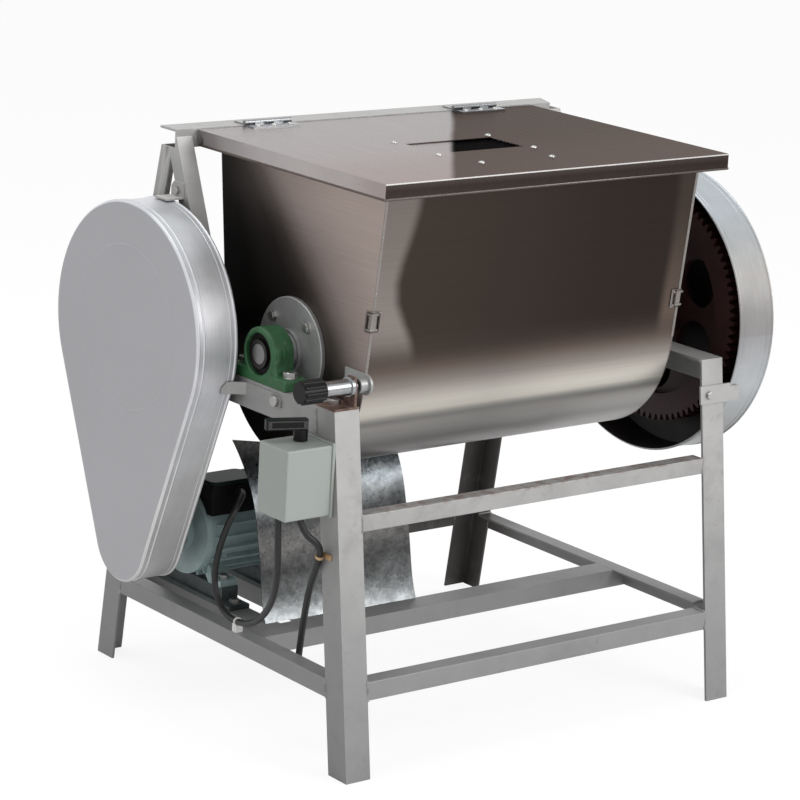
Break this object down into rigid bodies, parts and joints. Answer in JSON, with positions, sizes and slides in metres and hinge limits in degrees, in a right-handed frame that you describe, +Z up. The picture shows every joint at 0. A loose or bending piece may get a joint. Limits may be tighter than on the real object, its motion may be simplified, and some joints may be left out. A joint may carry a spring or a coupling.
{
  "type": "dough mixer",
  "caption": "Tilting trough dough mixer on an angle iron stand, with a hinged lid, skewed mixing bars, an open gear pair and a belt drive under guards.",
  "frame": {"origin": "on the floor, under the centre of the overall box", "axes": "+X along the trough towards the gear guard, +Y towards the lid hinges, +Z up"},
  "size_m": [1.056, 0.778, 1.0064],
  "materials": {
    "frame_paint": "satin",
    "stainless": "brushed",
    "plated": "polished",
    "bolt_steel": "satin",
    "green_cast": "satin",
    "bearing_steel": "satin",
    "guard_sheet": "satin",
    "zinc_sheet": "satin",
    "motor_paint": "satin",
    "black_plastic": "matte",
    "switch_plastic": "satin",
    "cable_rubber": "matte",
    "belt_rubber": "matte",
    "gear_iron": "rough",
    "pulley_iron": "rough",
    "rusty_plate": "matte",
    "clip_brass": "satin",
    "tie_white": "matte"
  },
  "bodies": {
    "stand": {"front_legs": "frame_paint", "rear_legs": "frame_paint", "top_rails": "frame_paint", "lower_side_rails": "frame_paint", "lower_end_rails": "frame_paint", "cross_rails": "frame_paint", "front_middle_rail": "frame_paint", "lid_posts": "frame_paint", "hinge_crossbar": "frame_paint", "pillow_blocks": "green_cast", "bearing_inserts": "bearing_steel", "bearing_bolts": "bolt_steel", "lock_plate": "rusty_plate", "lock_housing": "plated", "hinge_frame_leaves": "plated", "hinge_screws": "bolt_steel", "v_belts": "belt_rubber", "belt_guard": "guard_sheet", "guard_straps": "guard_sheet", "gear_guard": "guard_sheet", "stand_bolts": "bolt_steel", "motor_body": "motor_paint", "motor_fan_cover": "motor_paint", "terminal_box": "black_plastic", "terminal_cover": "black_plastic", "motor_slides": "motor_paint", "motor_shield": "zinc_sheet", "switch_base": "switch_plastic", "switch_cover": "switch_plastic", "motor_lead": "cable_rubber", "supply_lead": "cable_rubber", "cable_clip": "clip_brass", "cable_tie": "tie_white"},
    "agitator": {"agitator_shaft": "stainless", "agitator_arms": "stainless", "agitator_bars": "stainless", "ring_gear": "gear_iron", "agitator_races": "bearing_steel"},
    "countershaft": {"countershaft": "bolt_steel", "pinion": "gear_iron", "big_pulley": "pulley_iron", "countershaft_races": "bearing_steel"},
    "rotor": {"motor_rotor": "bolt_steel", "motor_fan": "black_plastic", "motor_pulley": "pulley_iron"},
    "tub": {"tub_shell": "stainless", "tub_ends": "stainless", "end_discs": "stainless", "disc_bolts": "bolt_steel", "corner_catches": "stainless", "lock_keeper": "stainless"},
    "lid": {"lid": "stainless", "port_guides": "stainless", "lid_fasteners": "bolt_steel", "hinge_lid_leaves": "plated"},
    "port": {"port_plate": "stainless"},
    "lock_pin": {"lock_plunger": "bolt_steel", "lock_knob": "black_plastic"},
    "switch_knob": {"switch_drum": "black_plastic", "switch_handle": "black_plastic"}
  },
  "joints": [
    {"name": "agitator_spin", "type": "hinge", "parent": "stand", "child": "agitator", "pos_m": [0, -0.086, 0.6629], "axis": [1, 0, 0], "continuous": true},
    {"name": "countershaft_spin", "type": "hinge", "parent": "stand", "child": "countershaft", "pos_m": [0, 0.169, 0.6629], "axis": [1, 0, 0], "continuous": true},
    {"name": "motor_spin", "type": "hinge", "parent": "stand", "child": "rotor", "pos_m": [-0.3, 0.166, 0.287], "axis": [1, 0, 0], "continuous": true},
    {"name": "tub_tilt", "type": "hinge", "parent": "stand", "child": "tub", "pos_m": [0, -0.086, 0.6629], "axis": [1, 0, 0], "range_deg": [0, 80]},
    {"name": "lid_hinge", "type": "hinge", "parent": "stand", "child": "lid", "pos_m": [0, 0.176, 1.0024], "axis": [-1, 0, 0], "range_deg": [0, 170]},
    {"name": "port_slide", "type": "slide", "parent": "lid", "child": "port", "axis": [0, -1, 0], "range_m": [0, 0.08]},
    {"name": "lock_slide", "type": "slide", "parent": "stand", "child": "lock_pin", "axis": [1, 0, 0], "range_m": [0, 0.012]},
    {"name": "switch_turn", "type": "hinge", "parent": "stand", "child": "switch_knob", "pos_m": [-0.466, -0.267, 0.57], "axis": [0, 0, 1], "range_deg": [-45, 45]}
  ],
  "couplings": [
    {"joint": "countershaft_spin", "follows": "agitator_spin", "ratio": -4.6667},
    {"joint": "motor_spin", "follows": "agitator_spin", "ratio": -23.333},
    {"joint": "lid_hinge", "follows": "tub_tilt", "ratio": 2.125}
  ]
}
